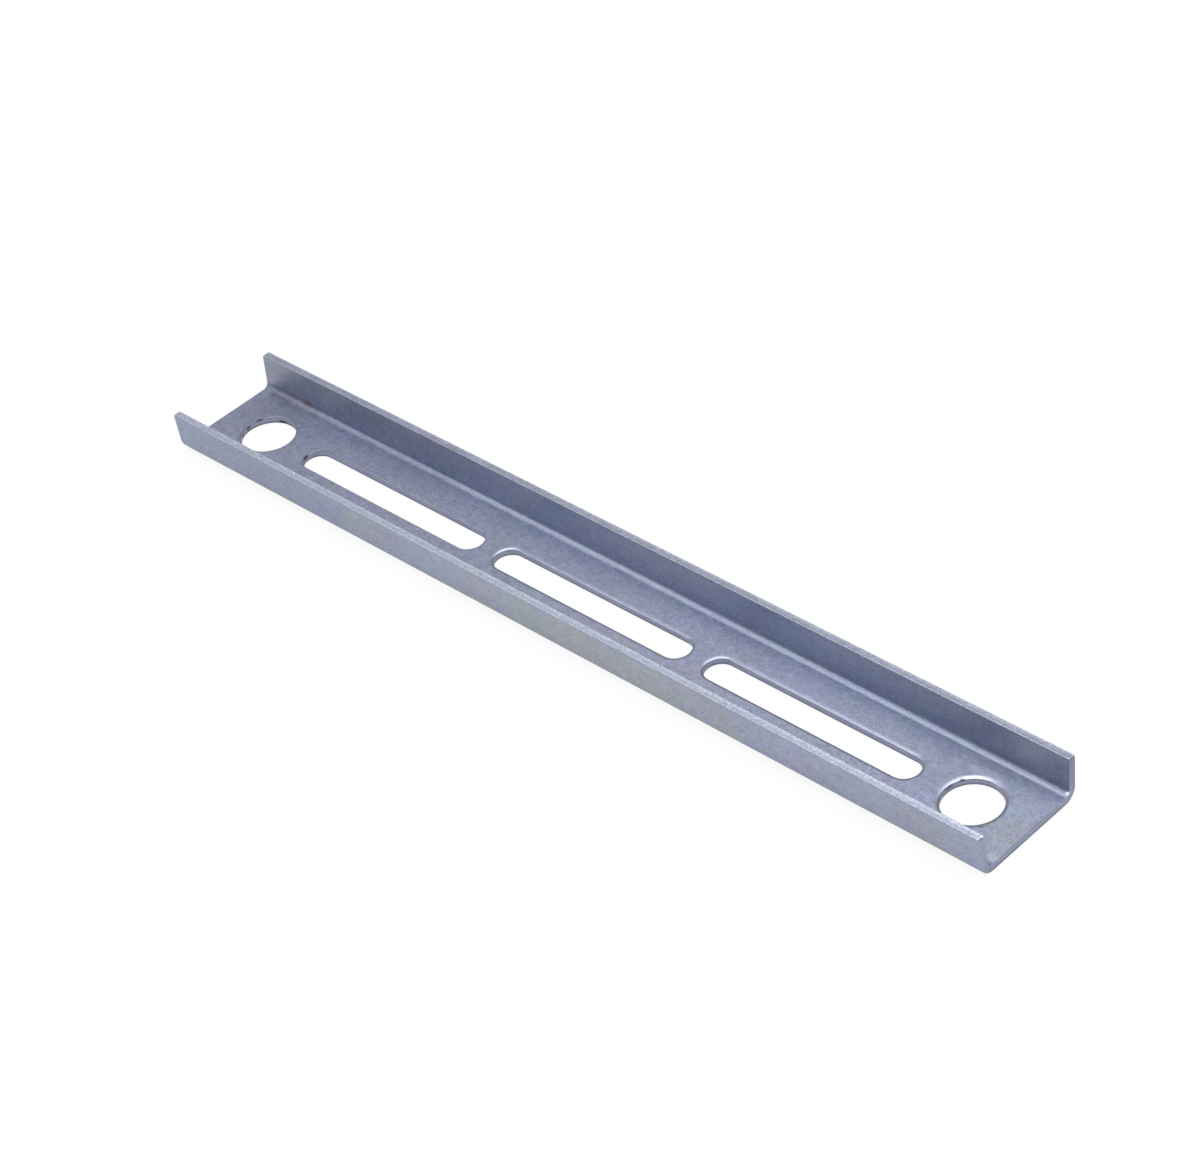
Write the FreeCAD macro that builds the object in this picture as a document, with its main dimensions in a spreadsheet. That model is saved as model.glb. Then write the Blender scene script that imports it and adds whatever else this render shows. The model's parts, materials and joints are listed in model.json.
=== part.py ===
import FreeCAD, Part
import enum
import math
import os
import Sketcher

# Slotted metal channel: one strip of zinc-plated steel sheet, punched with a round hole near
# each end and a row of obround slots between them, then folded up along both long sides.
#
# Frame: X runs along the channel, Y across it, Z up through the sheet of the web.
# The origin is the middle of the web's underside, so the channel lies on z = 0 with both
# flanges pointing up.

NODE = "slotted_channel"

# Driving sizes in millimetres, one independently settable size a row: cell name, value, meaning.
SIZES = [
    ("channel_length", 200.0, "overall length"),
    ("channel_width", 25.0, "width over the outsides of both flanges"),
    ("flange_height", 9.0, "height from the underside to the top of a flange"),
    ("sheet_thickness", 1.5, "thickness of the sheet, the same in web and flanges"),
    ("bend_inner_radius", 1.5, "inside radius of both bends"),
    ("hole_diameter", 11.0, "diameter of the round hole near each end"),
    ("hole_end_distance", 12.0, "from an end of the channel to the centre of its hole"),
    ("slot_length", 48.0, "length of a slot over its round ends"),
    ("slot_width", 6.0, "width of a slot, and the diameter of its round ends"),
    ("slot_bridge", 4.5, "metal between one slot and the next, and the least beside an end hole"),
    ("rim_roll_radius", 0.4, "soft rim that the punch leaves on the side it enters"),
    ("edge_break", 0.15, "small rounding of the sheared edges"),
]

# The slots repeat at one pitch. The row is centred and holds as many as the room between the
# two end holes takes, with a bridge of metal on either side of every slot.
SLOT_PITCH = "(Sizes.slot_length + Sizes.slot_bridge)"
ROOM = "(Sizes.channel_length - 2 * Sizes.hole_end_distance - Sizes.hole_diameter)"
SLOT_COUNT = f"floor(({ROOM} - Sizes.slot_bridge) / {SLOT_PITCH})"

# Two lengths closer than this, in millimetres, are taken as the same.
NEAR = 0.001


class Spot(enum.IntEnum):
    """The point of a sketch element that a constraint takes hold of."""

    START = enum.auto()
    END = enum.auto()
    CENTRE = enum.auto()


class Axis(enum.IntEnum):
    """A sketch's own axes, by their numbers. The horizontal one starts at the sketch's origin."""

    HORIZONTAL = -1
    VERTICAL = -2


START, END, CENTRE = Spot
ORIGIN_POINT = (Axis.HORIZONTAL, START)


def make_sheet(doc):
    """The table of driving sizes, each value in a cell with a name of its own."""
    sheet = doc.addObject("Spreadsheet::Sheet", "Sizes")
    for row, (alias, value, meaning) in enumerate(SIZES, start=1):
        sheet.set(f"A{row}", alias)
        sheet.set(f"B{row}", str(value))
        sheet.set(f"C{row}", meaning)
        sheet.setAlias(f"B{row}", alias)
    doc.recompute()
    return sheet


def origin_feature(body, role):
    """One of the body's own reference planes or axes, such as XY_Plane or X_Axis."""
    return next(feature for feature in body.Origin.OriginFeatures if feature.Role == role)


def new_sketch(body, name, plane_role):
    """An empty sketch on one of the body's own reference planes."""
    sketch = body.newObject("Sketcher::SketchObject", name)
    sketch.AttachmentSupport = (origin_feature(body, plane_role), [""])
    sketch.MapMode = "FlatFace"
    return sketch


def size_constraint(sketch, name, formula, kind, *where):
    """A named dimension of a sketch, driven by a formula over the table of sizes."""
    index = sketch.addConstraint(Sketcher.Constraint(kind, *where))
    sketch.renameConstraint(index, name)
    sketch.setExpression(f"Constraints.{name}", formula)


def add_line(sketch, first, second):
    """A straight line between two points given as (x, y)."""
    line = Part.LineSegment(FreeCAD.Vector(*first, 0), FreeCAD.Vector(*second, 0))
    return sketch.addGeometry(line, False)


def add_arc(sketch, centre, radius, from_deg, to_deg):
    """An arc running anticlockwise between two angles."""
    circle = Part.Circle(FreeCAD.Vector(*centre, 0), FreeCAD.Vector(0, 0, 1), radius)
    arc = Part.ArcOfCircle(circle, math.radians(from_deg), math.radians(to_deg))
    return sketch.addGeometry(arc, False)


def draw_folded_section(body, size):
    """The cross-section of the folded sheet, a U of constant thickness with concentric bends."""
    sketch = new_sketch(body, "FoldedSection", "YZ_Plane")
    thick, inner = size.sheet_thickness, size.bend_inner_radius
    outer = inner + thick
    half, height = size.channel_width / 2, size.flange_height
    flat = half - outer

    underside = add_line(sketch, (-flat, 0), (flat, 0))
    right_bend_outside = add_arc(sketch, (flat, outer), outer, -90, 0)
    right_outside = add_line(sketch, (half, outer), (half, height))
    right_top = add_line(sketch, (half, height), (half - thick, height))
    right_inside = add_line(sketch, (half - thick, height), (half - thick, outer))
    right_bend_inside = add_arc(sketch, (flat, outer), inner, -90, 0)
    floor = add_line(sketch, (flat, thick), (-flat, thick))
    left_bend_inside = add_arc(sketch, (-flat, outer), inner, 180, 270)
    left_inside = add_line(sketch, (thick - half, outer), (thick - half, height))
    left_top = add_line(sketch, (thick - half, height), (-half, height))
    left_outside = add_line(sketch, (-half, height), (-half, outer))
    left_bend_outside = add_arc(sketch, (-flat, outer), outer, 180, 270)

    smooth_joins = [
        (underside, END, right_bend_outside, START),
        (right_bend_outside, END, right_outside, START),
        (right_inside, END, right_bend_inside, END),
        (right_bend_inside, START, floor, START),
        (floor, END, left_bend_inside, END),
        (left_bend_inside, START, left_inside, START),
        (left_outside, END, left_bend_outside, START),
        (left_bend_outside, END, underside, START),
    ]
    for join in smooth_joins:
        sketch.addConstraint(Sketcher.Constraint("Tangent", *join))
    corners = [
        (right_outside, END, right_top, START),
        (right_top, END, right_inside, START),
        (left_inside, END, left_top, START),
        (left_top, END, left_outside, START),
    ]
    for corner in corners:
        sketch.addConstraint(Sketcher.Constraint("Coincident", *corner))
    for line in (underside, right_top, floor, left_top):
        sketch.addConstraint(Sketcher.Constraint("Horizontal", line))
    for line in (right_outside, right_inside, left_inside, left_outside):
        sketch.addConstraint(Sketcher.Constraint("Vertical", line))

    # The underside lies on y = 0 and both flanges mirror each other.
    sketch.addConstraint(Sketcher.Constraint("PointOnObject", underside, START, Axis.HORIZONTAL))
    sketch.addConstraint(
        Sketcher.Constraint("Symmetric", right_outside, END, left_outside, START, Axis.VERTICAL)
    )
    sketch.addConstraint(Sketcher.Constraint("Equal", right_top, left_top))
    sketch.addConstraint(Sketcher.Constraint("Equal", right_bend_outside, left_bend_outside))
    sketch.addConstraint(Sketcher.Constraint("Equal", right_bend_inside, left_bend_inside))
    # One centre for the inside and the outside of a bend keeps the sheet's thickness through it.
    sketch.addConstraint(
        Sketcher.Constraint("Coincident", right_bend_outside, CENTRE, right_bend_inside, CENTRE)
    )

    size_constraint(
        sketch, "width", "Sizes.channel_width",
        "DistanceX", left_outside, START, right_outside, END, size.channel_width,
    )
    size_constraint(
        sketch, "height", "Sizes.flange_height",
        "DistanceY", *ORIGIN_POINT, right_outside, END, height,
    )
    size_constraint(
        sketch, "thickness", "Sizes.sheet_thickness",
        "DistanceX", right_top, END, right_top, START, thick,
    )
    size_constraint(
        sketch, "inside_radius", "Sizes.bend_inner_radius",
        "Radius", right_bend_inside, inner,
    )
    return sketch


def draw_end_hole(body, size):
    """The round hole near the channel's right-hand end."""
    sketch = new_sketch(body, "EndHoleOutline", "XY_Plane")
    along = size.channel_length / 2 - size.hole_end_distance
    centre = FreeCAD.Vector(along, 0, 0)
    hole = sketch.addGeometry(
        Part.Circle(centre, FreeCAD.Vector(0, 0, 1), size.hole_diameter / 2), False
    )
    sketch.addConstraint(Sketcher.Constraint("PointOnObject", hole, CENTRE, Axis.HORIZONTAL))
    size_constraint(
        sketch, "from_middle", "Sizes.channel_length / 2 - Sizes.hole_end_distance",
        "DistanceX", *ORIGIN_POINT, hole, CENTRE, along,
    )
    size_constraint(
        sketch, "diameter", "Sizes.hole_diameter",
        "Diameter", hole, size.hole_diameter,
    )
    return sketch


def slots_that_fit(size):
    """How many slots the row holds, as SLOT_COUNT works it out."""
    room = size.channel_length - 2 * size.hole_end_distance - size.hole_diameter
    return math.floor((room - size.slot_bridge) / (size.slot_length + size.slot_bridge))


def draw_first_slot(body, size):
    """The slot nearest the left-hand end, an obround lying along the channel."""
    sketch = new_sketch(body, "SlotOutline", "XY_Plane")
    radius = size.slot_width / 2
    between = size.slot_length - size.slot_width
    pitch = size.slot_length + size.slot_bridge
    middle = -pitch * (slots_that_fit(size) - 1) / 2
    left, right = middle - between / 2, middle + between / 2

    left_end = add_arc(sketch, (left, 0), radius, 90, 270)
    lower_side = add_line(sketch, (left, -radius), (right, -radius))
    right_end = add_arc(sketch, (right, 0), radius, -90, 90)
    upper_side = add_line(sketch, (right, radius), (left, radius))

    smooth_joins = [
        (left_end, END, lower_side, START),
        (lower_side, END, right_end, START),
        (right_end, END, upper_side, START),
        (upper_side, END, left_end, START),
    ]
    for join in smooth_joins:
        sketch.addConstraint(Sketcher.Constraint("Tangent", *join))
    sketch.addConstraint(Sketcher.Constraint("Horizontal", lower_side))
    sketch.addConstraint(Sketcher.Constraint("Equal", left_end, right_end))
    sketch.addConstraint(Sketcher.Constraint("PointOnObject", left_end, CENTRE, Axis.HORIZONTAL))
    size_constraint(
        sketch, "end_radius", "Sizes.slot_width / 2",
        "Radius", left_end, radius,
    )
    size_constraint(
        sketch, "between_centres", "Sizes.slot_length - Sizes.slot_width",
        "DistanceX", left_end, CENTRE, right_end, CENTRE, between,
    )
    size_constraint(
        sketch, "from_middle",
        f"{SLOT_PITCH} * ({SLOT_COUNT} - 1) / 2 + (Sizes.slot_length - Sizes.slot_width) / 2",
        "DistanceX", left_end, CENTRE, *ORIGIN_POINT, -left,
    )
    return sketch


def punch(body, sketch, name):
    """Everything above a sketch on the underside is cut away through the web."""
    pocket = body.newObject("PartDesign::Pocket", name)
    pocket.Profile = sketch
    pocket.Type = "ThroughAll"
    pocket.Reversed = True
    return pocket


def round_edges(body, name, wanted, formula):
    """A fillet over every edge of the body so far that the test `wanted` picks."""
    base = body.Tip
    names = [f"Edge{i}" for i, edge in enumerate(base.Shape.Edges, start=1) if wanted(edge)]
    if not names:
        raise RuntimeError(f"{name}: no edge was picked")
    fillet = body.newObject("PartDesign::Fillet", name)
    fillet.Base = (base, names)
    fillet.setExpression("Radius", formula)
    return fillet


def check_cut(name, before, after, least):
    """A cut that points the wrong way removes nothing, so its volume is compared."""
    removed = before.Volume - after.Volume
    if removed < least:
        raise RuntimeError(f"{name}: removed {removed:.2f} cubic mm, expected {least:.2f} or more")


def build(doc):
    """The channel as one body: folded section, end holes, row of slots, soft rims and edges."""
    size = make_sheet(doc)
    body = doc.addObject("PartDesign::Body", "Channel")
    body.Label = NODE

    folded = body.newObject("PartDesign::Pad", "FoldedStrip")
    folded.Profile = draw_folded_section(body, size)
    folded.SideType = "Symmetric"
    folded.setExpression("Length", "Sizes.channel_length")
    doc.recompute()

    right_hole = punch(body, draw_end_hole(body, size), "RightEndHole")
    doc.recompute()
    both_holes = body.newObject("PartDesign::Mirrored", "BothEndHoles")
    both_holes.Originals = [right_hole]
    both_holes.MirrorPlane = (origin_feature(body, "YZ_Plane"), [""])
    body.Tip = both_holes
    doc.recompute()
    hole_volume = math.pi * size.hole_diameter**2 / 4 * size.sheet_thickness
    check_cut("end holes", folded.Shape, both_holes.Shape, 1.99 * hole_volume)

    first_slot = punch(body, draw_first_slot(body, size), "FirstSlot")
    doc.recompute()
    slot_row = body.newObject("PartDesign::LinearPattern", "SlotRow")
    slot_row.Originals = [first_slot]
    slot_row.Direction = (origin_feature(body, "X_Axis"), [""])
    slot_row.Mode = "Spacing"
    slot_row.setExpression("Offset", SLOT_PITCH)
    slot_row.setExpression("Occurrences", SLOT_COUNT)
    body.Tip = slot_row
    doc.recompute()
    straight = size.slot_length - size.slot_width
    slot_area = math.pi * size.slot_width**2 / 4 + straight * size.slot_width
    slots_volume = slots_that_fit(size) * slot_area * size.sheet_thickness
    check_cut("slots", both_holes.Shape, slot_row.Shape, 0.99 * slots_volume)

    # The punch enters from inside the channel and draws the rim of each opening down a little.
    bend_outer_radius = size.bend_inner_radius + size.sheet_thickness

    def on_floor_rim(edge):
        box = edge.BoundBox
        on_floor = abs(box.ZMin - size.sheet_thickness) < NEAR and box.ZLength < NEAR
        inside_ends = max(-box.XMin, box.XMax) < size.channel_length / 2 - NEAR
        inside_bends = max(-box.YMin, box.YMax) < size.channel_width / 2 - bend_outer_radius - NEAR
        return on_floor and inside_ends and inside_bends

    round_edges(body, "RolledRims", on_floor_rim, "Sizes.rim_roll_radius")
    doc.recompute()

    # The strip was sheared to width and to length: the long edges along the tops of the flanges
    # and the outlines of both ends are broken a little.
    def on_sheared_edge(edge):
        box = edge.BoundBox
        along = box.XLength > size.channel_length - NEAR
        on_top = along and abs(box.ZMin - size.flange_height) < NEAR
        on_end = box.XLength < NEAR and abs(abs(box.XMin) - size.channel_length / 2) < NEAR
        return on_top or on_end

    round_edges(body, "ShearedEdges", on_sheared_edge, "Sizes.edge_break")
    doc.recompute()
    return body


def check(doc, body):
    """Every object has recomputed, and the channel is one whole solid of the stated size."""
    for item in doc.Objects:
        if "Invalid" in item.State or "Error" in item.State:
            raise RuntimeError(f"{item.Name} did not build: {item.State}")
    shape = body.Shape
    if shape.isNull() or not shape.isValid() or len(shape.Solids) != 1:
        raise RuntimeError(f"{body.Label} is not one valid solid")
    size = doc.getObject("Sizes")
    box = shape.optimalBoundingBox(False, False)
    for got, wanted in (
        (box.XLength, size.channel_length),
        (box.YLength, size.channel_width),
        (box.ZLength, size.flange_height),
        (box.ZMin, 0.0),
    ):
        if abs(got - wanted) > NEAR:
            raise RuntimeError(f"{body.Label} measures {got:.4f} where {wanted:.4f} is meant")


def main():
    doc = FreeCAD.newDocument("SlottedChannel")
    body = build(doc)
    body.Placement = FreeCAD.Placement()
    doc.recompute()
    check(doc, body)
    os.makedirs("parts", exist_ok=True)
    body.Shape.exportStep(f"parts/{body.Label}.step")
    print(f"{body.Label}: {len(body.Shape.Faces)} faces, {body.Shape.Volume:.1f} cubic mm")


main()
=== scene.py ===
"""A slotted channel folded from zinc-plated steel sheet.

The mesh that is shown, its finishes, the studio that it lies in and the photograph's camera.
"""

import enum
import json
import logging
import math
from collections.abc import Callable, Mapping, Sequence
from dataclasses import dataclass, field
from typing import Any, Union

import bmesh
import bpy
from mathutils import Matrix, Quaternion, Vector


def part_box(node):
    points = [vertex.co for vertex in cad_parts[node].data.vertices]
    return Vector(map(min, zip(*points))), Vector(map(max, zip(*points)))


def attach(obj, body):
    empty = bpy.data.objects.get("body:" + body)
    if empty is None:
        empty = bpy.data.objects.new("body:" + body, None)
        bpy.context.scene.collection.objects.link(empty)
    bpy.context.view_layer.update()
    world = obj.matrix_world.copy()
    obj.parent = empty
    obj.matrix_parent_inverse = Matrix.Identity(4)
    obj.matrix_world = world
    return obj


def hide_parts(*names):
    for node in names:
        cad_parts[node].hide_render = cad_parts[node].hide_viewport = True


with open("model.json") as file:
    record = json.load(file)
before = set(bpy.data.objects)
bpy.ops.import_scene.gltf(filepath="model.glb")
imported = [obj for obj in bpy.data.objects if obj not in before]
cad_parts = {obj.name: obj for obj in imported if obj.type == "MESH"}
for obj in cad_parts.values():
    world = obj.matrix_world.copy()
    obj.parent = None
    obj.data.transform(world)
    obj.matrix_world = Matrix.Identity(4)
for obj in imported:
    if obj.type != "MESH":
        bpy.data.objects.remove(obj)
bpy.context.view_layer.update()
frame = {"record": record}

log = logging.getLogger("slotted_channel")

MM = 0.001
TOUCH = 0.02 * MM  # Points closer than this, on an axis, are taken to be level with each other.
SHARP = 1.0  # Faces that meet at more than this, in radians, make a sharp edge.
X, Y, Z = range(3)
NODE = "slotted_channel"

Number = Union[float, "Wire"]
Triple = tuple[float, float, float]


class Part(enum.Enum):
    """What a selection is made of."""

    VERTICES = "VERT"
    EDGES = "EDGE"
    FACES = "FACE"


class Side(enum.IntEnum):
    """The two flanges, by the sign of their place across the channel."""

    NEAR = -1
    FAR = 1


class Coat(enum.IntEnum):
    """The finishes on the sheet, in the order of its material slots."""

    PLATED = 0
    SHEARED = 1
    CROPPED = 2
    PUNCHED = 3
    ROLLED = 4


# Bench tools


def clear_selection() -> None:
    """Deselects every object, so that the next operator acts on its own piece alone."""
    bpy.ops.object.select_all(action="DESELECT")


def work_on(piece: bpy.types.Object) -> None:
    """Selects one object alone and makes it active."""
    clear_selection()
    piece.select_set(True)
    bpy.context.view_layer.objects.active = piece


def start_edit() -> None:
    """Opens the active object's mesh with nothing selected."""
    bpy.ops.object.mode_set(mode="EDIT")
    bpy.ops.mesh.select_all(action="DESELECT")


def end_edit() -> None:
    """Closes the active object's mesh."""
    bpy.ops.object.mode_set(mode="OBJECT")


def pick(part: Part, test: Callable[[Any], bool]) -> int:
    """Selects the open mesh's vertices, edges or faces that pass a test, and nothing else.

    Args:
        part: Which elements are tested.
        test: Says of a bmesh element whether it is wanted.

    Returns:
        How many were selected.
    """
    bpy.ops.mesh.select_mode(type=part.value)
    bpy.ops.mesh.select_all(action="DESELECT")
    mesh = bpy.context.edit_object.data
    shape = bmesh.from_edit_mesh(mesh)
    elements = {Part.VERTICES: shape.verts, Part.EDGES: shape.edges, Part.FACES: shape.faces}[part]
    wanted = [e for e in elements if test(e)]
    for element in wanted:
        element.select_set(True)
    shape.select_flush_mode()
    bmesh.update_edit_mesh(mesh)
    return len(wanted)


def middle(edge: Any) -> Vector:
    """The middle point of an edge."""
    return (edge.verts[0].co + edge.verts[1].co) / 2


def extent(edge: Any, axis: int) -> float:
    """How far an edge reaches along an axis."""
    return abs(edge.verts[0].co[axis] - edge.verts[1].co[axis])


def is_sharp(edge: Any) -> bool:
    """Whether two faces meet at an edge in a sharp angle."""
    return len(edge.link_faces) == 2 and edge.calc_face_angle() > SHARP


def apply_modifier(kind: str, **settings: Any) -> None:
    """Adds a modifier to the active object, sets it up and applies it.

    Args:
        kind: The modifier's type, as Blender names it.
        **settings: Its properties.
    """
    bpy.ops.object.modifier_add(type=kind)
    modifier = bpy.context.object.modifiers[-1]
    for name, value in settings.items():
        setattr(modifier, name, value)
    bpy.ops.object.modifier_apply(modifier=modifier.name)


def round_off(reach: float, steps: int) -> None:
    """Rounds the selected edges.

    Args:
        reach: How far the rounding reaches over the faces on both sides.
        steps: How many strips make it.
    """
    bpy.ops.mesh.bevel(
        offset=reach, segments=steps, affect="EDGES", profile=0.5, clamp_overlap=False
    )


# Shader arithmetic


class Wire:
    """One value in a material, written in formulas as a number is."""

    def __init__(self, paints: "Paints", socket: bpy.types.NodeSocket) -> None:
        """Wraps a socket of the material that paints is making."""
        self.paints = paints
        self.socket = socket

    def maths(self, operation: str, *values: Number) -> "Wire":
        """Adds one Math node over the given values."""
        return self.paints.add("ShaderNodeMath", {"operation": operation}, dict(enumerate(values)))

    def __add__(self, other: Number) -> "Wire":
        """self + other."""
        return self.maths("ADD", self, other)

    def __radd__(self, other: Number) -> "Wire":
        """other + self."""
        return self.maths("ADD", other, self)

    def __sub__(self, other: Number) -> "Wire":
        """self - other."""
        return self.maths("SUBTRACT", self, other)

    def __rsub__(self, other: Number) -> "Wire":
        """other - self."""
        return self.maths("SUBTRACT", other, self)

    def __mul__(self, other: Number) -> "Wire":
        """self * other."""
        return self.maths("MULTIPLY", self, other)

    def __rmul__(self, other: Number) -> "Wire":
        """other * self."""
        return self.maths("MULTIPLY", other, self)

    def __abs__(self) -> "Wire":
        """The size of the value, without its sign."""
        return self.maths("ABSOLUTE", self)

    def most(self, other: Number) -> "Wire":
        """The larger of two values."""
        return self.maths("MAXIMUM", self, other)

    def rise(self, low: float, high: float) -> "Wire":
        """A soft step.

        Args:
            low: Where the step starts, at 0.
            high: Where it ends, at 1. With high below low the step falls.

        Returns:
            The step's height at this value.
        """
        if low > high:
            return 1 - self.rise(high, low)
        sockets = {"Value": self, "From Min": low, "From Max": high}
        return self.paints.add("ShaderNodeMapRange", {"interpolation_type": "SMOOTHSTEP"}, sockets)


class Paints:
    """Adds the nodes of one material.

    Attributes:
        FIRST: The first colour's place among a Mix node's inputs.
        SECOND: The second colour's place there.
        MIXED: The mixed colour's place among its outputs.
    """

    FIRST = 6
    SECOND = 7
    MIXED = 2

    def __init__(self, tree: bpy.types.NodeTree) -> None:
        """Starts on an empty tree."""
        tree.nodes.clear()
        self.tree = tree
        self.place = self.add("ShaderNodeTexCoord", {}, {}, "Object")

    def add(
        self,
        kind: str,
        settings: Mapping[str, Any],
        sockets: Mapping[Any, Any],
        output: Union[str, int] = 0,
    ) -> Wire:
        """Adds a node.

        Args:
            kind: The node's type.
            settings: Its properties, which are set before its sockets.
            sockets: A value or a wire for each named or numbered input.
            output: The output that is wanted.

        Returns:
            That output.
        """
        node = self.tree.nodes.new(kind)
        for name, value in settings.items():
            setattr(node, name, value)
        for name, value in sockets.items():
            if isinstance(value, Wire):
                self.tree.links.new(value.socket, node.inputs[name])
            else:
                node.inputs[name].default_value = value
        return Wire(self, node.outputs[output])

    def show(self, shader: Wire) -> None:
        """Makes a shader the one that the material shows."""
        output = self.tree.nodes.new("ShaderNodeOutputMaterial")
        self.tree.links.new(shader.socket, output.inputs["Surface"])

    def stretched(self, scale: Triple, shift: Triple = (0.0, 0.0, 0.0)) -> Wire:
        """Object coordinates in millimetres, moved and then scaled on each axis."""
        size = tuple(s / MM for s in scale)
        sockets = {"Vector": self.place, "Scale": size, "Location": shift}
        return self.add("ShaderNodeMapping", {"vector_type": "POINT"}, sockets)

    def noise(
        self,
        where: Wire,
        grain: float,
        detail: float = 2.0,
        roughness: float = 0.5,
        output: Union[str, int] = 0,
    ) -> Wire:
        """Cloudy noise from 0 to 1.

        Args:
            where: Coordinates in millimetres.
            grain: The size of its clouds in millimetres.
            detail: How many finer layers it has.
            roughness: How strong those are.
            output: 0 for one value, or "Color" for three that differ.

        Returns:
            The noise, spread out about MIDDLE.
        """
        sockets = {"Vector": where, "Scale": 1 / grain, "Detail": detail, "Roughness": roughness}
        return self.add("ShaderNodeTexNoise", {"noise_dimensions": "3D"}, sockets, output)

    def axes(self, where: Wire) -> tuple[Wire, Wire, Wire]:
        """The three parts of a vector."""
        parts = self.add("ShaderNodeSeparateXYZ", {}, {"Vector": where})
        return tuple(Wire(self, s) for s in parts.socket.node.outputs)

    def blend(self, share: Number, first: Any, second: Any) -> Wire:
        """Mixes two colours by a share of the second."""
        settings = {"data_type": "RGBA", "clamp_factor": True}
        sockets = {"Factor": share, self.FIRST: first, self.SECOND: second}
        return self.add("ShaderNodeMix", settings, sockets, self.MIXED)

    def shade(self, colour: Wire, light: Number) -> Wire:
        """Multiplies a colour by a value."""
        return self.add("ShaderNodeVectorMath", {"operation": "SCALE"}, {0: colour, "Scale": light})

    def wander(self, colour: Wire, where: Wire, grain: float, reach: float) -> Wire:
        """Lets a colour's hue wander from place to place.

        Args:
            colour: The colour.
            where: Coordinates in millimetres.
            grain: The size of the patches in millimetres.
            reach: How far each of its three parts may change.

        Returns:
            The uneven colour.
        """
        hues = self.noise(where, grain, output="Color")
        gain = self.add(
            "ShaderNodeVectorMath",
            {"operation": "MULTIPLY_ADD"},
            {0: hues, 1: (2 * reach,) * 3, 2: (1 - reach,) * 3},
        )
        return self.add("ShaderNodeVectorMath", {"operation": "MULTIPLY"}, {0: colour, 1: gain})

    def bump(
        self,
        height: Wire,
        depth: float,
        strength: float = 1.0,
        under: Union[Wire, None] = None,
    ) -> Wire:
        """Turns a height from 0 to 1 into a normal.

        Args:
            height: The height.
            depth: How deep 1 is, in metres.
            strength: How much of it is used.
            under: A normal that this one lies on.

        Returns:
            The normal.
        """
        sockets = {"Height": height, "Distance": depth, "Strength": strength}
        if under is not None:
            sockets["Normal"] = under
        return self.add("ShaderNodeBump", {}, sockets)


def rgba(colour: Triple) -> tuple[float, float, float, float]:
    """A colour with full cover."""
    return (*colour, 1.0)


# Finishes

MIDDLE = 0.5  # The value that a noise spreads out from.
ALONG = (0.45, 1.0, 1.0)  # Draws clouds out along the channel, as the mill rolled the sheet.
EVEN = (1.0, 1.0, 1.0)
SPOTS_PER_CLOUD = 7  # How many times smaller than the clouds the soft spots are.
HUES_PER_CLOUD = 5  # How many times smaller than them the finer changes of hue are.
CLOUD_EDGE = (0.3, 0.7)  # Where in the noise the dark clouds end and the light ones begin.
UNEVENNESS = 3.5  # The size of the bays in a patch's edge, in millimetres.
PATCH_EDGE = (1.0, 0.35)  # Where a patch begins and is whole, as shares of its reach.
RAGGED_REACH = 4.0  # How far the bays of a wholly ragged edge go, in reaches.
SPOT_ROUGHNESS = 0.16  # How much the soft spots change the roughness.
SPECK_ROUGHNESS = 0.12  # How much the specks do.
SPOT_DEPTH = 0.01 * MM  # How deep the soft spots are as waves in the surface.
SPOT_RELIEF = 0.35  # How much of that depth is used.
TORN_EDGE = 0.1  # Half the height in millimetres over which a torn face begins.
TORN_WANDER = 0.5  # How far that line wanders, in millimetres.
TORN_DARKNESS = 0.15  # How much darker a torn face is.
TORN_ROUGHNESS = 0.2  # How much rougher it is.
TOP_MIDDLE = 11.75  # From the channel's middle to the middle of a sheared top, in millimetres.
BURR_INSIDE = (0.35, 0.5)  # From there to where a burr begins and is whole.
BURR_OUTSIDE = (0.75, 0.6)  # From there to where it ends and is still whole.
BURR_WANDER = 0.25  # How far its edges wander, in millimetres.


@dataclass(frozen=True)
class Patch:
    """A place where the surface has another colour.

    Attributes:
        centre: Its middle in millimetres.
        reach: Its half sizes in millimetres.
        colour: What it turns the surface to.
        cover: How much of that shows at its middle.
        ragged: How uneven its edge is.
    """

    centre: Triple
    reach: Triple
    colour: Triple
    cover: float
    ragged: float

    def mask(self, paints: Paints, unevenness: Wire) -> Wire:
        """How much of the patch shows at each point."""
        scale = tuple(1 / r for r in self.reach)
        shift = tuple(-c / r for c, r in zip(self.centre, self.reach))
        sockets = {0: paints.stretched(scale, shift)}
        away = paints.add("ShaderNodeVectorMath", {"operation": "LENGTH"}, sockets, "Value")
        bays = (unevenness - MIDDLE) * (self.ragged * RAGGED_REACH)
        return (away + bays).rise(*PATCH_EDGE) * self.cover


GREENISH = (0.318, 0.346, 0.372)
# The colour of painted light in the corner of the near bend's right end.
CORNER_LIGHT_GREEN = (0.43, 0.48, 0.52)
BROWN = (0.155, 0.125, 0.125)
PURPLE = (0.25, 0.165, 0.27)
OIL = (0.06, 0.055, 0.065)
# The grey of painted shade on the far flange and the far bend.
SHADE_GREY = (0.235, 0.25, 0.315)
# The colour of a painted highlight on a rim.
RIM_HIGHLIGHT = (0.45, 0.475, 0.565)
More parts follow.
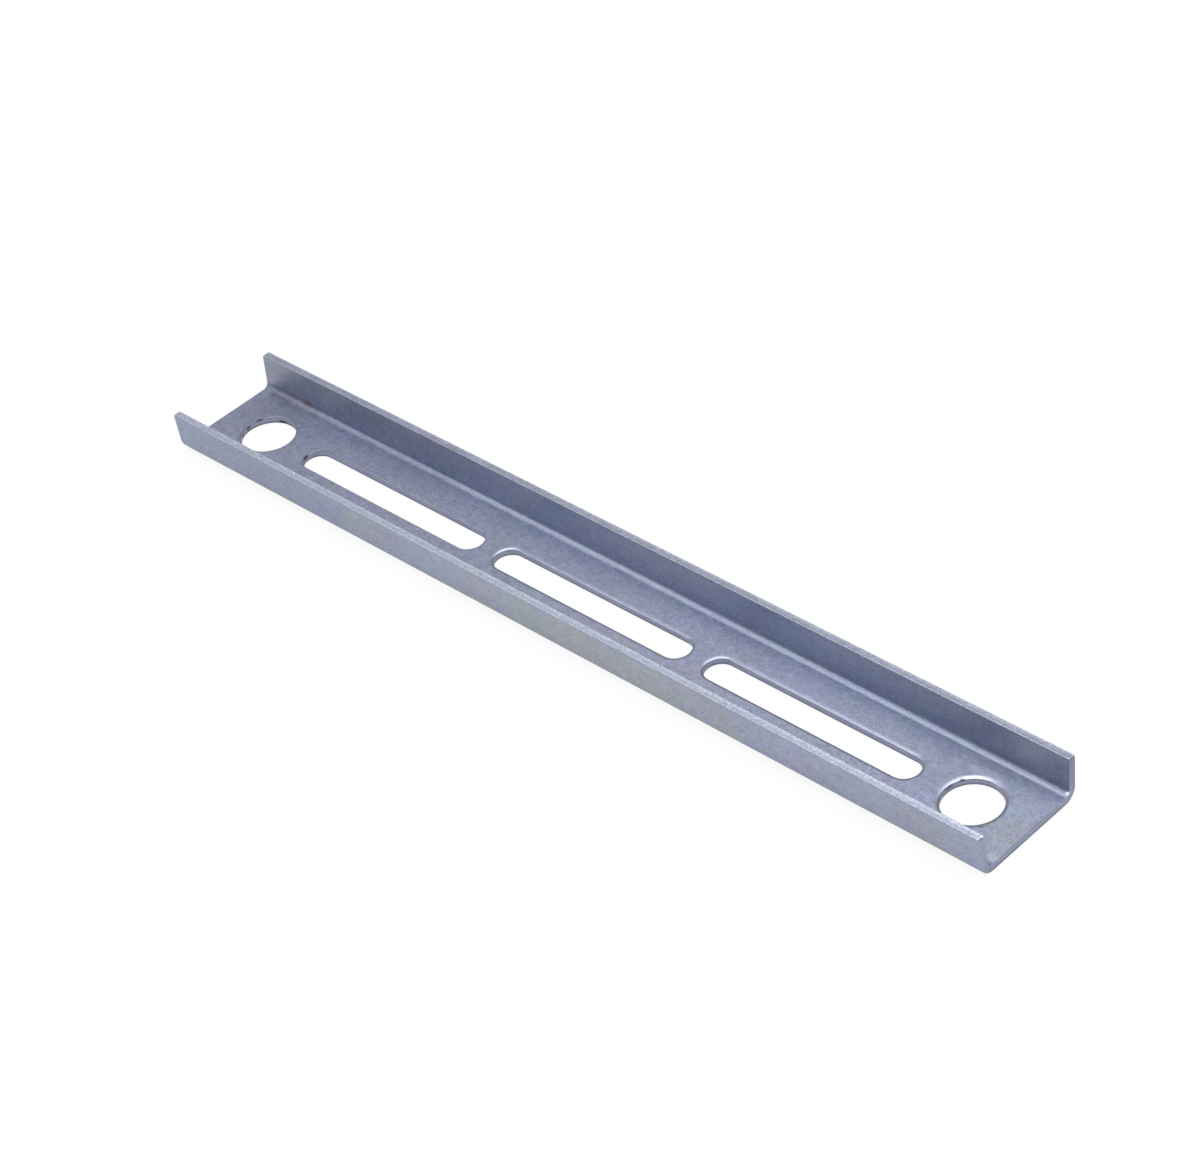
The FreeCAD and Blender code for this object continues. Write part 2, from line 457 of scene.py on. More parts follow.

# Painted light and shade over wide areas, with some plain differences of tone: the web and the near
# flange's outer face painted lighter towards the right end and darker towards the left, the far
# flange's inner face painted darker, and a painted highlight on the web beside the right hole's far
# rim.
TONE_LIGHT_AND_SHADE = (
    Patch((-72.0, -12.8, 5.0), (58.0, 1.6, 9.0), (0.267, 0.297, 0.396), 1.0, 0.1),
    Patch((-100.0, 11.2, 6.0), (90.0, 1.2, 6.5), SHADE_GREY, 0.8, 0.1),
    Patch((-36.0, 0.0, 1.5), (42.0, 11.0, 0.8), (0.318, 0.333, 0.464), 0.5, 0.1),
    Patch((42.0, 0.0, 1.5), (76.0, 11.0, 0.8), (0.341, 0.366, 0.482), 0.9, 0.1),
    Patch((55.0, -5.5, 1.5), (32.0, 2.4, 0.8), (0.317, 0.345, 0.442), 0.7, 0.2),
    Patch((101.0, 1.0, 1.5), (14.0, 11.0, 0.8), (0.345, 0.372, 0.49), 0.9, 0.1),
    Patch((86.0, 6.4, 1.5), (5.5, 1.5, 0.6), (0.42, 0.455, 0.57), 0.6, 0.05),
    Patch((84.0, 11.2, 6.0), (34.0, 1.2, 6.5), (0.275, 0.295, 0.385), 0.8, 0.2),
    Patch((-93.0, 4.0, 1.5), (13.0, 9.0, 0.8), (0.262, 0.28, 0.378), 0.9, 0.2),
    Patch((26.3, 0.0, 1.5), (7.0, 9.0, 0.8), (0.325, 0.345, 0.47), 0.8, 0.2),
    Patch((79.0, -0.5, 1.5), (7.0, 7.0, 0.8), (0.302, 0.328, 0.445), 0.8, 0.2),
    Patch((-6.0, -5.5, 1.5), (12.0, 2.4, 0.8), (0.335, 0.366, 0.47), 0.8, 0.2),
)
# Greener plating in front and at the right end, and pale green painted light in the corner of the
# near bend's right end.
GREEN_TINT_AND_CORNER_LIGHT = (
    Patch((14.0, -13.0, 4.5), (50.0, 2.6, 7.5), GREENISH, 0.8, 0.3),
    Patch((-46.0, -13.0, 5.0), (10.0, 1.6, 8.0), GREENISH, 0.6, 0.3),
    Patch((88.0, -13.0, 4.5), (9.0, 2.6, 7.0), GREENISH, 0.5, 0.3),
    Patch((97.0, -2.5, 1.5), (7.0, 6.5, 1.6), GREENISH, 0.45, 0.25),
    Patch((99.3, -8.3, 1.5), (1.8, 1.1, 0.8), CORNER_LIGHT_GREEN, 0.6, 0.2),
)
# The near sheared top painted lighter than the far one, and lighter still towards the right end, as
# painted light; and a painted shade along the far top's outer edge.
TOP_LIGHT_AND_SHADE = (
    Patch((0.0, -12.5, 9.0), (400.0, 3.0, 3.0), (0.435, 0.47, 0.57), 1.0, 0.0),
    Patch((105.0, -12.5, 9.0), (60.0, 3.0, 3.0), (0.455, 0.49, 0.60), 1.0, 0.0),
    Patch((0.0, 12.55, 8.95), (400.0, 0.3, 0.5), (0.15, 0.16, 0.19), 0.9, 0.0),
)
# The rims of the left openings darker, and a painted highlight on the right hole's far rim.
RIM_TONE_AND_HIGHLIGHT = (
    Patch((-85.0, 0.0, 1.3), (26.0, 9.0, 2.0), (0.165, 0.175, 0.222), 1.0, 0.0),
    Patch((84.3, 5.2, 1.5), (3.3, 2.6, 1.0), RIM_HIGHLIGHT, 1.0, 0.1),
)
# Painted glints on two corners at the right end.
GLINTS = (
    Patch((100.0, 10.2, 2.0), (0.9, 0.5, 0.45), (0.95, 0.96, 1.0), 1.0, 0.1),
    Patch((100.0, -11.3, 9.0), (0.55, 0.4, 0.4), (0.9, 0.92, 1.0), 1.0, 0.1),
)
# Painted shade along the broken edge of the web's right end, which dims that edge's highlight and
# darkens the end face.
END_EDGE_SHADE = Patch((100.0, 0.0, 1.45), (0.35, 12.0, 0.5), (0.215, 0.232, 0.305), 0.5, 0.3)
# That painted shade on the right end's edge again, and the far flange's end face darker.
END_SHADE_AND_DARK_FACE = (
    END_EDGE_SHADE,
    Patch((100.0, 11.8, 6.0), (2.0, 1.6, 6.0), (0.21, 0.235, 0.30), 0.9, 0.1),
)
# Painted light and shade on the bends: the painted shade of the right end's edge, a painted shade
# along the near bend's underside, the far bend's highlight painted darker towards the left end, and
# painted light in the near bend at the right end.
BEND_LIGHT_AND_SHADE = (
    END_EDGE_SHADE,
    Patch((0.0, -11.9, 0.9), (400.0, 1.6, 0.9), (0.12, 0.13, 0.16), 0.9, 0.0),
    Patch((-100.0, 10.5, 2.0), (90.0, 1.6, 1.0), SHADE_GREY, 0.8, 0.1),
    Patch((-98.0, 10.5, 2.0), (18.0, 1.6, 1.0), (0.175, 0.182, 0.25), 0.8, 0.3),
    Patch((99.6, -10.6, 2.1), (1.6, 0.9, 0.8), (0.48, 0.5, 0.62), 0.7, 0.1),
)
# A brown mark in the far bend and a purple one by the right hole.
STAINS = (
    Patch((-87.8, 10.5, 2.5), (2.4, 1.0, 0.8), BROWN, 0.55, 0.3),
    Patch((92.7, -3.9, 1.5), (1.2, 0.7, 0.8), PURPLE, 0.8, 0.2),
)
# Dark remains of the punch's oil in both holes and in the first slot.
RESIDUE = (
    Patch((83.3, 3.1, 1.2), (0.8, 0.8, 0.3), OIL, 0.85, 0.15),
    Patch((82.6, 0.6, 1.0), (0.5, 1.6, 0.45), OIL, 0.75, 0.2),
    Patch((83.2, -2.6, 0.9), (0.8, 1.3, 0.5), OIL, 0.75, 0.2),
    Patch((-92.9, 2.0, 1.35), (0.8, 1.5, 0.35), OIL, 1.0, 0.15),
    Patch((-93.5, -0.6, 0.95), (0.4, 1.1, 0.4), OIL, 0.85, 0.2),
    Patch((-92.7, -2.7, 0.75), (0.8, 1.2, 0.45), OIL, 0.75, 0.2),
    Patch((-89.7, 5.2, 0.5), (1.6, 0.7, 0.45), OIL, 1.0, 0.15),
    Patch((-87.3, 5.4, 0.2), (2.4, 0.7, 0.35), OIL, 0.85, 0.15),
    Patch((-83.1, 2.7, 0.8), (0.5, 1.0, 0.6), OIL, 0.7, 0.2),
    Patch((-76.4, -0.8, 1.15), (0.6, 1.2, 0.55), OIL, 0.95, 0.15),
)


@dataclass(frozen=True)
class MetalFinish:
    """A metal surface.

    Attributes:
        name: The material's name.
        colour: Its colour in its darker, bluer clouds.
        cloud_colour: Its colour in its lighter clouds.
        roughness: How matt it is.
        cloud: The size of its clouds in millimetres.
        grain: The size of its finest specks in millimetres.
        speckle: How strongly the specks lighten and darken it.
        mottle: How strongly soft spots of about a millimetre do.
        tint: How strongly its hue wanders.
        depth: How deep its specks are in metres.
        patches: Painted light and shade, tints and stains on it.
        fracture: The height in millimetres below which a cut face is torn and dark, or None.
        burr: How much lighter the two burrs along a sheared top are painted, as a painted sheen.
    """

    name: str
    colour: Triple
    cloud_colour: Triple
    roughness: float
    cloud: float = 9.0
    grain: float = 0.32
    speckle: float = 1.0
    mottle: float = 0.48
    tint: float = 0.08
    depth: float = 0.000004
    patches: tuple[Patch, ...] = ()
    fracture: Union[float, None] = None
    burr: float = 0.0

    def make(self) -> bpy.types.Material:
        """Makes the material."""
        material = bpy.data.materials.new(self.name)
        material.use_nodes = True
        paints = Paints(material.node_tree)
        even = paints.stretched(EVEN)
        spots = paints.noise(even, self.cloud / SPOTS_PER_CLOUD, detail=4.0, roughness=0.6)
        specks = paints.noise(even, self.grain, detail=2.0, roughness=0.6)
        light = 1 + (specks - MIDDLE) * self.speckle + (spots - MIDDLE) * self.mottle
        roughness = self.roughness + (spots - MIDDLE) * SPOT_ROUGHNESS
        roughness = roughness + (specks - MIDDLE) * SPECK_ROUGHNESS
        if self.fracture is not None:
            torn = self.torn(paints, even, spots)
            light = light * (1 - TORN_DARKNESS * torn)
            roughness = roughness + TORN_ROUGHNESS * torn
        # A painted sheen along the two burrs of a sheared top.
        if self.burr:
            light = light * self.burr_sheen(paints, even, spots)
        waves = paints.bump(spots, SPOT_DEPTH, SPOT_RELIEF)
        sockets = {
            "Base Color": paints.shade(self.hue(paints, even), light),
            "Metallic": 1.0,
            "Roughness": roughness,
            "Normal": paints.bump(specks, self.depth, under=waves),
        }
        paints.show(paints.add("ShaderNodeBsdfPrincipled", {}, sockets))
        return material

    def hue(self, paints: Paints, even: Wire) -> Wire:
        """The metal's colour, with its clouds and patches.

        Args:
            paints: The material's nodes.
            even: Coordinates in millimetres.

        Returns:
            The colour, before the specks and soft spots lighten and darken it.
        """
        clouds = paints.noise(paints.stretched(ALONG), self.cloud, detail=3.0, roughness=0.55)
        share = clouds.rise(*CLOUD_EDGE)
        colour = paints.blend(share, rgba(self.colour), rgba(self.cloud_colour))
        unevenness = paints.noise(even, UNEVENNESS, detail=3.0, roughness=0.6)
        for patch in self.patches:
            colour = paints.blend(patch.mask(paints, unevenness), colour, rgba(patch.colour))
        for grain in (self.cloud, self.cloud / HUES_PER_CLOUD):
            colour = paints.wander(colour, even, grain, self.tint)
        return colour

    def torn(self, paints: Paints, even: Wire, spots: Wire) -> Wire:
        """How torn a cut face is at each point, from 0 above the fracture to 1 below it."""
        height = paints.axes(even)[Z] + (spots - MIDDLE) * TORN_WANDER
        return height.rise(self.fracture + TORN_EDGE, self.fracture - TORN_EDGE)

    def burr_sheen(self, paints: Paints, even: Wire, spots: Wire) -> Wire:
        """How much the painted sheen along the two burrs of a sheared top lightens each point."""
        across = abs(abs(paints.axes(even)[Y]) - TOP_MIDDLE) + (spots - MIDDLE) * BURR_WANDER
        return 1 + self.burr * across.rise(*BURR_INSIDE) * across.rise(*BURR_OUTSIDE)


FINISHES: Mapping[Coat, MetalFinish] = {
    Coat.PLATED: MetalFinish(
        name="zinc_plating",
        colour=(0.285, 0.318, 0.430),
        cloud_colour=(0.315, 0.345, 0.445),
        roughness=0.46,
        patches=TONE_LIGHT_AND_SHADE + GREEN_TINT_AND_CORNER_LIGHT + BEND_LIGHT_AND_SHADE + STAINS + GLINTS,
        speckle=0.95,
    ),
    Coat.SHEARED: MetalFinish(
        name="sheared_top",
        colour=(0.31, 0.34, 0.42),
        cloud_colour=(0.365, 0.395, 0.49),
        roughness=0.48,
        patches=TOP_LIGHT_AND_SHADE + GLINTS,
        cloud=2.0,
        grain=0.34,
        speckle=1.15,
        depth=0.00003,
        burr=0.14,
    ),
    Coat.CROPPED: MetalFinish(
        name="cropped_end",
        colour=(0.265, 0.29, 0.385),
        cloud_colour=(0.30, 0.32, 0.42),
        roughness=0.48,
        cloud=2.5,
        grain=0.3,
        depth=0.00001,
        patches=END_SHADE_AND_DARK_FACE + GLINTS,
        fracture=0.5,
    ),
    Coat.PUNCHED: MetalFinish(
        name="punched_wall",
        colour=(0.22, 0.235, 0.33),
        cloud_colour=(0.265, 0.28, 0.375),
        roughness=0.44,
        cloud=3.0,
        grain=0.25,
        depth=0.00001,
        patches=RESIDUE,
        fracture=0.45,
    ),
    Coat.ROLLED: MetalFinish(
        name="rolled_rim",
        colour=(0.31, 0.34, 0.43),
        cloud_colour=(0.34, 0.37, 0.46),
        roughness=0.34,
        cloud=3.0,
        grain=0.3,
        speckle=0.3,
        depth=0.000003,
        patches=RIM_TONE_AND_HIGHLIGHT + RESIDUE,
    ),
}


# The channel

HOLE_SIDES = 96
SLOT_SIDES = 64
HOLE_ROLL = 1.05 * MM
SLOT_ROLL = 0.85 * MM
CRISP_ROLL = 0.25 * MM  # The roll of the openings that a sharper punch has made.
CRISP_END = -30 * MM  # Those openings lie left of here.
TOP_UNEVENNESS = 0.1 * MM
TOP_UP = 0.2  # How far up a sheared top's faces point at least, where 1 is straight up.
END_ALONG = 0.6  # How far along the channel an end's faces point at least.
WALL_UP = 0.3  # How far up an opening's wall points at most, and its rim at least.
WEB_UP = 0.995  # How far up the flat web points at least.


@dataclass(frozen=True)
class Opening:
    """A hole or slot punched through the web.

    Attributes:
        x: The middle of the opening along the channel, in metres.
        radius: Half its width.
        reach: How far its two round ends are moved apart, each way. 0 makes a round hole.
        steps: How many sides its round ends have in all.
        roll: How far the roll of its upper rim reaches over the web.
    """

    x: float
    radius: float
    reach: float
    steps: int
    roll: float

    def cutter(self, depth: float) -> bpy.types.Object:
        """Makes a solid of this outline that passes through the web.

        Args:
            depth: The solid's height.

        Returns:
            The solid.
        """
        clear_selection()
        centre = (self.x, 0, 0)
        bpy.ops.mesh.primitive_cylinder_add(
            vertices=self.steps, radius=self.radius, depth=depth, location=centre
        )
        tool = bpy.context.object
        bpy.ops.object.transform_apply(location=True, rotation=True, scale=True)
        start_edit()
        half_step = math.pi / self.steps
        bpy.ops.mesh.select_all(action="SELECT")
        bpy.ops.transform.rotate(value=half_step, orient_axis="Z", center_override=centre)
        for way in (-1, 1):
            if self.reach and pick(Part.VERTICES, lambda v: (v.co.x - self.x) * way > 0):
                bpy.ops.transform.translate(value=(way * self.reach, 0, 0))
        end_edit()
        return tool


@dataclass
class FoldedChannel:
    """The channel's sheet: its web, its two bends and its two flanges, with their cut edges.

    Attributes:
        length: Its length.
        width: Its width over the flanges.
        height: Its height.
        openings: What is punched through its web.
        thickness: The sheet's thickness.
        inner_radius: The bends' inner radius.
        roll_depth: The depth of a rim's roll, as a share of its reach over the web.
        roll_steps: How many strips make a roll.
        bend_steps: How many flat strips make a bend.
        splay: How far each flange has sprung back outwards from square.
        edge_break: The radius of the other cut edges.
        edge_steps: How many strips make that radius on the outline.
        rim_steps: How many strips make it on the openings' lower rims.
        corner: The radius of the flanges' top corners, seen from the side.
        corner_steps: How many strips make that radius.
        top_rows: How many rows of faces cross a flange's top.
        top_profile: How deep each line between those rows lies, from outside in.
        skirt: How far down the flanges the fine mesh of the tops goes.
        crest: How much of that skirt, from the top down, has their torn grain.
        cuts: How many cuts are made across the tops, and then between each two of those.
        grains: The size and depth of each grain of the torn tops.
        end_zone: How far from an end a face may lie that belongs to it.
        flat_below: The angle in radians below which faces are shaded as one.
    """

    length: float
    width: float
    height: float
    openings: Sequence[Opening]
    thickness: float = 1.5 * MM
    inner_radius: float = 1.2 * MM
    roll_depth: float = 0.33
    roll_steps: int = 8
    bend_steps: int = 14
    splay: Mapping[Side, float] = field(
        default_factory=lambda: {Side.NEAR: math.radians(2.5), Side.FAR: math.radians(3.3)}
    )
    edge_break: float = 0.12 * MM
    edge_steps: int = 3
    rim_steps: int = 2
    corner: float = 0.45 * MM
    corner_steps: int = 5
    top_rows: int = 8
    top_profile: Sequence[float] = tuple(
        depth * MM for depth in (0.015, 0.03, 0.035, 0.035, 0.03, 0.015, 0.0)
    )
    skirt: float = 0.6 * MM
    crest: float = 0.75
    cuts: tuple[int, int] = (99, 8)
    grains: Sequence[tuple[float, float]] = ((1.3 * MM, 0.028 * MM), (0.42 * MM, 0.05 * MM))
    end_zone: float = 2 * MM
    flat_below: float = math.radians(40)
    shown: Union[bpy.types.Object, None] = field(default=None, init=False)

    @property
    def outer_radius(self) -> float:
        """The bends' outer radius."""
        return self.inner_radius + self.thickness

    def flat(self, side: Side) -> float:
        """How far the web's flat part reaches on one side."""
        splay = self.splay[side]
        foot = self.width / 2 - self.height * math.tan(splay)
        return foot - self.outer_radius * math.tan((math.pi / 2 - splay) / 2)

    @property
    def end(self) -> float:
        """Half the channel's length."""
        return self.length / 2

    @property
    def inside(self) -> float:
        """How far from the middle a face may lie that doesn't belong to an end."""
        return self.end - self.end_zone

    def on_web(self, where: Vector) -> bool:
        """Whether a place lies on the web, clear of the bends and the ends."""
        return abs(where.x) < self.inside and abs(where.y) < self.width / 3

    def at_top_end(self, edge: Any) -> bool:
        """Whether an edge lies at a flange's top, at one of the channel's ends."""
        where = middle(edge)
        return where.z > self.height - TOUCH and abs(abs(where.x) - self.end) < TOUCH

    def fold_skin(self) -> None:
        """Makes the sheet's outer face as one open strip, folded up at both sides."""
        clear_selection()
        rim = 0.5  # Half the size of the plane that the strip starts from.
        bpy.ops.mesh.primitive_plane_add(size=2 * rim, location=(0, 0, 0))
        self.shown = bpy.context.object
        self.shown.name = "folded_channel"
        start_edit()
        bpy.ops.mesh.select_all(action="SELECT")
        bpy.ops.transform.resize(value=(self.length, 1, 1), center_override=(0, 0, 0))
        for side, splay in self.splay.items():
            flat = self.flat(side)
            pick(Part.EDGES, lambda e: min(v.co.y * side for v in e.verts) > rim / 2)
            bpy.ops.transform.translate(value=(0, side * (flat - rim), 0))
            turn = -side * (math.pi / 2 - splay)
            hinge = (0, side * flat, self.outer_radius)
            bpy.ops.mesh.spin(steps=self.bend_steps, angle=turn, center=hinge, axis=(1, 0, 0))
            bent = self.outer_radius * (1 - math.sin(splay))
            for rise in (self.height - bent - self.skirt, self.skirt):
                step = (0, side * rise * math.tan(splay), rise)
                bpy.ops.mesh.extrude_region_move(TRANSFORM_OT_translate={"value": step})
        bpy.ops.mesh.select_all(action="SELECT")
        bpy.ops.mesh.remove_doubles(threshold=TOUCH / 10)
        bpy.ops.mesh.normals_make_consistent(inside=False)
        end_edit()

    def thicken(self) -> None:
        """Gives the skin the sheet's thickness, inwards, and levels the flanges' tops."""
        apply_modifier(
            "SOLIDIFY",
            thickness=self.thickness,
            offset=-1.0,
            use_even_offset=True,
            use_rim=True,
        )
        start_edit()
        pick(Part.VERTICES, lambda v: v.co.z > self.height - TOUCH)
        bpy.ops.transform.resize(value=(1, 1, 0), center_override=(0, 0, self.height))
        end_edit()

    def part_tops(self) -> None:
        """Cuts the flanges' tops into rows that run along the channel."""
        start_edit()
        pick(
            Part.EDGES,
            lambda e: self.at_top_end(e) and extent(e, Y) > self.thickness / 2,
        )
        bpy.ops.mesh.subdivide(number_cuts=self.top_rows - 1)
        end_edit()

    def round_corners(self) -> None:
        """Rounds the flanges' top corners and breaks the outline's sharp edges."""
        start_edit()
        pick(
            Part.EDGES,
            lambda e: self.at_top_end(e) and extent(e, X) < TOUCH and is_sharp(e),
        )
        round_off(self.corner, self.corner_steps)
        pick(Part.EDGES, is_sharp)
        round_off(self.edge_break, self.edge_steps)
        end_edit()

    def punch(self) -> None:
        """Punches the openings and rolls their rims."""
        through = 6 * self.thickness
        tools = [opening.cutter(through) for opening in self.openings]
        for tool in tools:
            work_on(self.shown)
            apply_modifier("BOOLEAN", operation="DIFFERENCE", object=tool, solver="EXACT")
            bpy.data.objects.remove(tool)
        work_on(self.shown)
        start_edit()
        web_top = (0, 0, self.thickness)
        for opening in self.openings:
            self.pick_rims(self.thickness, opening)
            round_off(opening.roll, self.roll_steps)
            bpy.ops.transform.resize(value=(1, 1, self.roll_depth), center_override=web_top)
        self.pick_rims(0.0)
        round_off(self.edge_break, self.rim_steps)
        end_edit()

    def pick_rims(self, z: float, opening: Union[Opening, None] = None) -> int:
        """Selects the openings' rims on one face of the web.

        Args:
            z: The height of that face.
            opening: The one opening that is meant, or None for all.

        Returns:
            How many edges were selected.
        """
        centre = opening.x if opening else 0.0
        room = opening.radius + opening.reach + MM if opening else self.inside
        return pick(
            Part.EDGES,
            lambda e: abs(e.verts[0].co.z - z) < TOUCH
            and abs(e.verts[1].co.z - z) < TOUCH
            and self.on_web(middle(e))
            and abs(middle(e).x - centre) < room
            and is_sharp(e),
        )

    def roughen_tops(self) -> None:
        """Gives the flanges' sheared tops their hollow, burrs and torn grain."""
        work_on(self.shown)
        start_edit()
        low = self.height - self.skirt - TOUCH
        for cuts in self.cuts:
            pick(
                Part.EDGES,
                lambda e: min(e.verts[0].co.z, e.verts[1].co.z) > low
                and extent(e, Y) < TOUCH
                and extent(e, X) > MM,
            )
            bpy.ops.mesh.subdivide(number_cuts=cuts)
        row = self.thickness / self.top_rows
        for side in Side:
            for line, depth in enumerate(self.top_profile, start=1):
                y = side * (self.width / 2 - line * row)
                found = pick(
                    Part.VERTICES,
                    lambda v: abs(v.co.y - y) < TOUCH
                    and v.co.z > self.height - TOUCH
                    and abs(v.co.x) < self.end - self.corner + TOUCH,
                )
                if found and depth:
                    bpy.ops.transform.translate(value=(0, 0, -depth))
        crest = self.height - self.crest * self.skirt
        pick(Part.VERTICES, lambda v: v.co.z > crest)
        bpy.ops.object.vertex_group_add()
        bpy.ops.object.vertex_group_assign()
        end_edit()
        group = self.shown.vertex_groups[-1].name
        for grain, depth in self.grains:
            texture = bpy.data.textures.new(f"torn_grain_{grain / MM:.2f}", "CLOUDS")
            texture.noise_scale = grain
            texture.noise_depth = 1
            apply_modifier(
                "DISPLACE",
                texture=texture,
                texture_coords="LOCAL",
                direction="NORMAL",
                strength=depth,
                mid_level=1.0,
                vertex_group=group,
            )
        self.shown.vertex_groups.clear()

    def coat_faces(self) -> None:
        """Gives each face of the sheet its finish, by where it lies and which way it faces."""
        work_on(self.shown)
        for coat in Coat:
            bpy.ops.object.material_slot_add()
            self.shown.material_slots[coat].material = FINISHES[coat].make()
        start_edit()
        tops = self.height - self.edge_break - TOP_UNEVENNESS
        tests: Mapping[Coat, Callable[[Any], bool]] = {
            Coat.SHEARED: lambda f: f.normal.z > TOP_UP and f.calc_center_median().z > tops,
            Coat.CROPPED: lambda f: abs(f.normal.x) > END_ALONG
            and abs(f.calc_center_median().x) > self.inside,
            Coat.PUNCHED: lambda f: abs(f.normal.z) < WALL_UP
            and self.on_web(f.calc_center_median()),
            Coat.ROLLED: lambda f: WALL_UP <= f.normal.z < WEB_UP
            and self.on_web(f.calc_center_median()),
        }
        for coat, test in tests.items():
            count = pick(Part.FACES, test)
            self.shown.active_material_index = coat
            bpy.ops.object.material_slot_assign()
            log.info("%s: %d faces", FINISHES[coat].name, count)
        end_edit()

    def smooth(self) -> None:
        """Shades bends and rims smooth and keeps flat faces flat."""
        work_on(self.shown)
        bpy.ops.object.shade_smooth_by_angle(angle=self.flat_below)
        apply_modifier("WEIGHTED_NORMAL", mode="FACE_AREA", weight=100, keep_sharp=True)

    def build(self) -> bpy.types.Object:
        """Makes the whole channel.

        Returns:
            The finished piece.
        """
        self.fold_skin()
        self.thicken()
        self.part_tops()
        self.round_corners()
        self.punch()
        self.roughen_tops()
        self.coat_faces()
        self.smooth()
        return self.shown


def punched(x: float, radius: float, reach: float) -> Opening:
    """States how one opening was punched.

    Args:
        x: The middle of the opening along the channel.
        radius: Half its width.
        reach: How far its two round ends are moved apart, each way.

    Returns:
        The opening, with its number of sides and its rim's roll.
    """
    roll = SLOT_ROLL if reach else HOLE_ROLL
    if x < CRISP_END:
        roll = CRISP_ROLL
    return Opening(x, radius, reach, SLOT_SIDES if reach else HOLE_SIDES, roll)


def read_channel(record: Mapping[str, Any]) -> FoldedChannel:
    """Reads the channel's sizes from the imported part.

    Args:
        record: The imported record, whose mounts give the holes and slots.

    Returns:
        The channel, not yet built.
    """
    low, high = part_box(NODE)
    size = high - low
    openings: dict[float, Opening] = {}
    for mount in record["mounts"]:
        if mount["kind"] != "bolt_pattern":
            continue
        dims = mount["dims"]
        radius = dims["hole_r_mm"] * MM
        slot_length = dims.get("slot_length_mm", 0.0) * MM
        reach = max(slot_length / 2 - radius, 0.0)
        for way in (-0.5, 0.5):
            x = mount["pos_m"][0] + way * dims["spacing_x_mm"] * MM
            openings[round(x, 6)] = punched(x, radius, reach)  # Two pairs share the middle slot.
    return FoldedChannel(size.x, size.y, size.z, [openings[x] for x in sorted(openings)])


# The studio

WHITE = (1.0, 1.0, 1.0)
FLOOR_GREY = (0.9, 0.9, 0.9)


@dataclass(frozen=True)
class Softbox:
    """A soft lamp that faces the middle of the scene.

    Attributes:
        name: Its name.
        centre: Where it hangs, in metres.
        size: Its width and height.
        brightness: How bright its face looks, where 1 is white.
    """

    name: str
    centre: Triple
    size: tuple[float, float]
    brightness: float

    def hang(self) -> bpy.types.Object:
        """Adds the lamp.

        Returns:
            The lamp.
        """
        facing = (-Vector(self.centre)).to_track_quat("-Z", "Y").to_euler()
        bpy.ops.object.light_add(type="AREA", location=self.centre, rotation=facing)
        lamp = bpy.context.object
        lamp.name = self.name
        lamp.data.shape = "RECTANGLE"
        lamp.data.size, lamp.data.size_y = self.size
        lamp.data.energy = self.brightness * math.pi * self.size[0] * self.size[1]
        return lamp


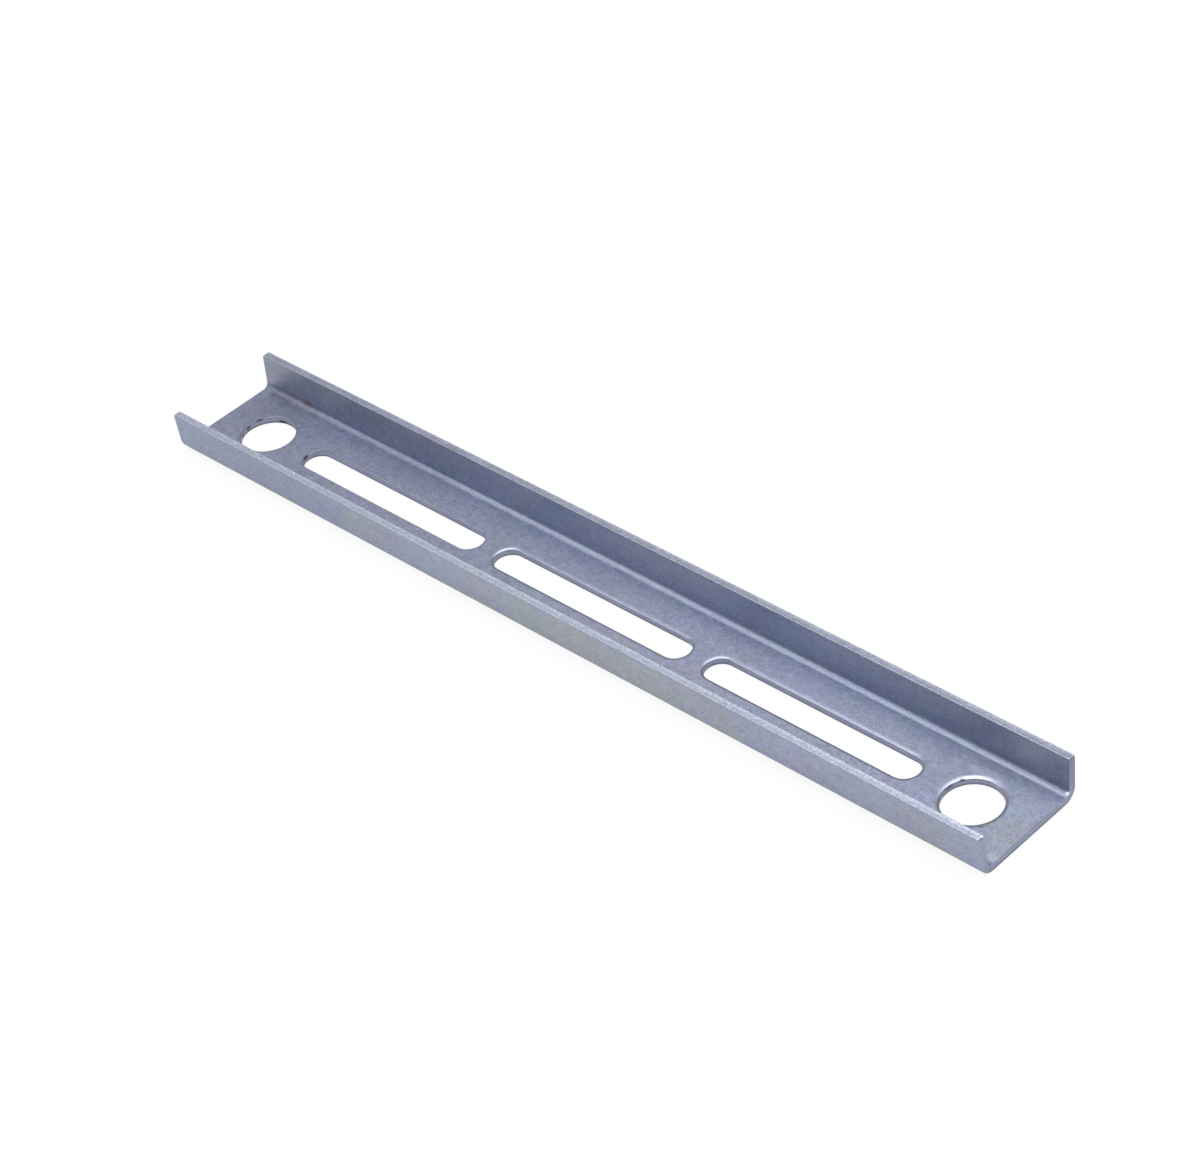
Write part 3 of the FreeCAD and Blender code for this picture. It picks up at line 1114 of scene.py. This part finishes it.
@dataclass
class Studio:
    """A pale floor, soft lamps and the photograph's camera.

    Attributes:
        aim: The point on the floor that the camera is turned to.
        azimuth: How far the camera stands round from the front, in degrees.
        elevation: How far it stands above the floor, in degrees.
        roll: How far it is turned about its own axis, in degrees.
        distance: How far it is from the aim.
        lens: Its focal length in millimetres.
        sensor: The width of its sensor in millimetres.
        floor_glow: How much of the floor's own shade gives way to plain white for the camera.
        mirror_glow: The same in reflections, where more of the shadow under the channel is kept.
        floor_radius: Half the floor's width.
        sky: The colour of the light from all round.
        softboxes: The lamps.
    """

    aim: Triple = (-0.005149, 0.00753, 0.0)
    azimuth: float = 49.541
    elevation: float = 38.847
    roll: float = -9.133
    distance: float = 0.62848
    lens: float = 103.421
    sensor: float = 36.0
    floor_glow: float = 0.9
    mirror_glow: float = 0.45
    floor_radius: float = 12.0
    sky: Triple = (0.58, 0.58, 0.58)
    softboxes: Sequence[Softbox] = (
        Softbox("overhead_softbox", (0.13, 0.10, 0.95), (1.1, 1.1), 2.5),
        Softbox("left_softbox", (-0.56, -0.38, 1.18), (0.62, 0.62), 1.6),
        Softbox("front_softbox", (-0.75, -0.80, 0.62), (0.4, 0.3), 4.2),
    )

    def light(self) -> None:
        """Sets the light from all round and hangs the lamps."""
        world = bpy.data.worlds.new("studio_light")
        bpy.context.scene.world = world
        world.use_nodes = True
        background = world.node_tree.nodes["Background"]
        background.inputs["Color"].default_value = rgba(self.sky)
        background.inputs["Strength"].default_value = 1.0
        for softbox in self.softboxes:
            softbox.hang()

    def lay_floor(self) -> bpy.types.Object:
        """Lays a pale floor that keeps the channel's soft shadow and is see-through from beneath.

        Returns:
            The floor.
        """
        clear_selection()
        bpy.ops.mesh.primitive_circle_add(
            vertices=64, radius=self.floor_radius, fill_type="NGON", location=(0, 0, -TOUCH)
        )
        floor = bpy.context.object
        floor.name = "studio_floor"
        bpy.ops.object.transform_apply(location=True)
        material = bpy.data.materials.new("pale_floor")
        material.use_nodes = True
        paints = Paints(material.node_tree)
        cover = paints.add("ShaderNodeBsdfDiffuse", {}, {"Color": rgba(FLOOR_GREY)})
        white = paints.add("ShaderNodeEmission", {}, {"Color": rgba(WHITE), "Strength": 1.0})
        rays = paints.add("ShaderNodeLightPath", {}, {}, "Is Camera Ray").socket.node.outputs
        seen, glossy, passed = (
            Wire(paints, rays[f"Is {kind} Ray"]) for kind in ("Camera", "Glossy", "Transmission")
        )
        mirrored = glossy.most(passed)
        glow = (seen * self.floor_glow).most(mirrored * self.mirror_glow)
        top = paints.add("ShaderNodeMixShader", {}, {0: glow, 1: cover, 2: white})
        clear = paints.add("ShaderNodeBsdfTransparent", {}, {})
        beneath = paints.add("ShaderNodeNewGeometry", {}, {}, "Backfacing")
        both = paints.add("ShaderNodeMixShader", {}, {0: beneath, 1: top, 2: clear})
        paints.show(both)
        floor.data.materials.append(material)
        return floor

    def place_camera(self) -> None:
        """Puts the camera at the photograph's viewing angle."""
        around, up = math.radians(self.azimuth), math.radians(self.elevation)
        away = math.cos(up)
        back = Vector((math.sin(around) * away, -math.cos(around) * away, math.sin(up)))
        data = bpy.data.cameras.new("photo_camera")
        data.sensor_fit = "HORIZONTAL"
        data.sensor_width = self.sensor
        data.lens = self.lens
        data.clip_start = 0.01
        data.clip_end = 100.0
        camera = bpy.data.objects.new("photo_camera", data)
        bpy.context.scene.collection.objects.link(camera)
        level = (-back).to_track_quat("-Z", "Y")
        camera.rotation_mode = "QUATERNION"
        camera.rotation_quaternion = level @ Quaternion((0, 0, 1), math.radians(self.roll))
        camera.location = Vector(self.aim) + back * self.distance
        bpy.context.scene.camera = camera

    def set_up(self) -> None:
        """Sets up the whole studio."""
        self.light()
        self.lay_floor()
        self.place_camera()
        bpy.context.scene.view_settings.view_transform = "Standard"


def main() -> None:
    """Builds the channel and the studio, and reports each piece."""
    logging.basicConfig(level=logging.INFO, format="%(message)s")
    channel = read_channel(frame["record"]).build()
    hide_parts(NODE)
    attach(channel, "root")
    triangles = sum(len(p.vertices) - 2 for p in channel.data.polygons)
    log.info("%s: %d triangles", channel.name, triangles)
    Studio().set_up()


if __name__ == "__main__":
    main()
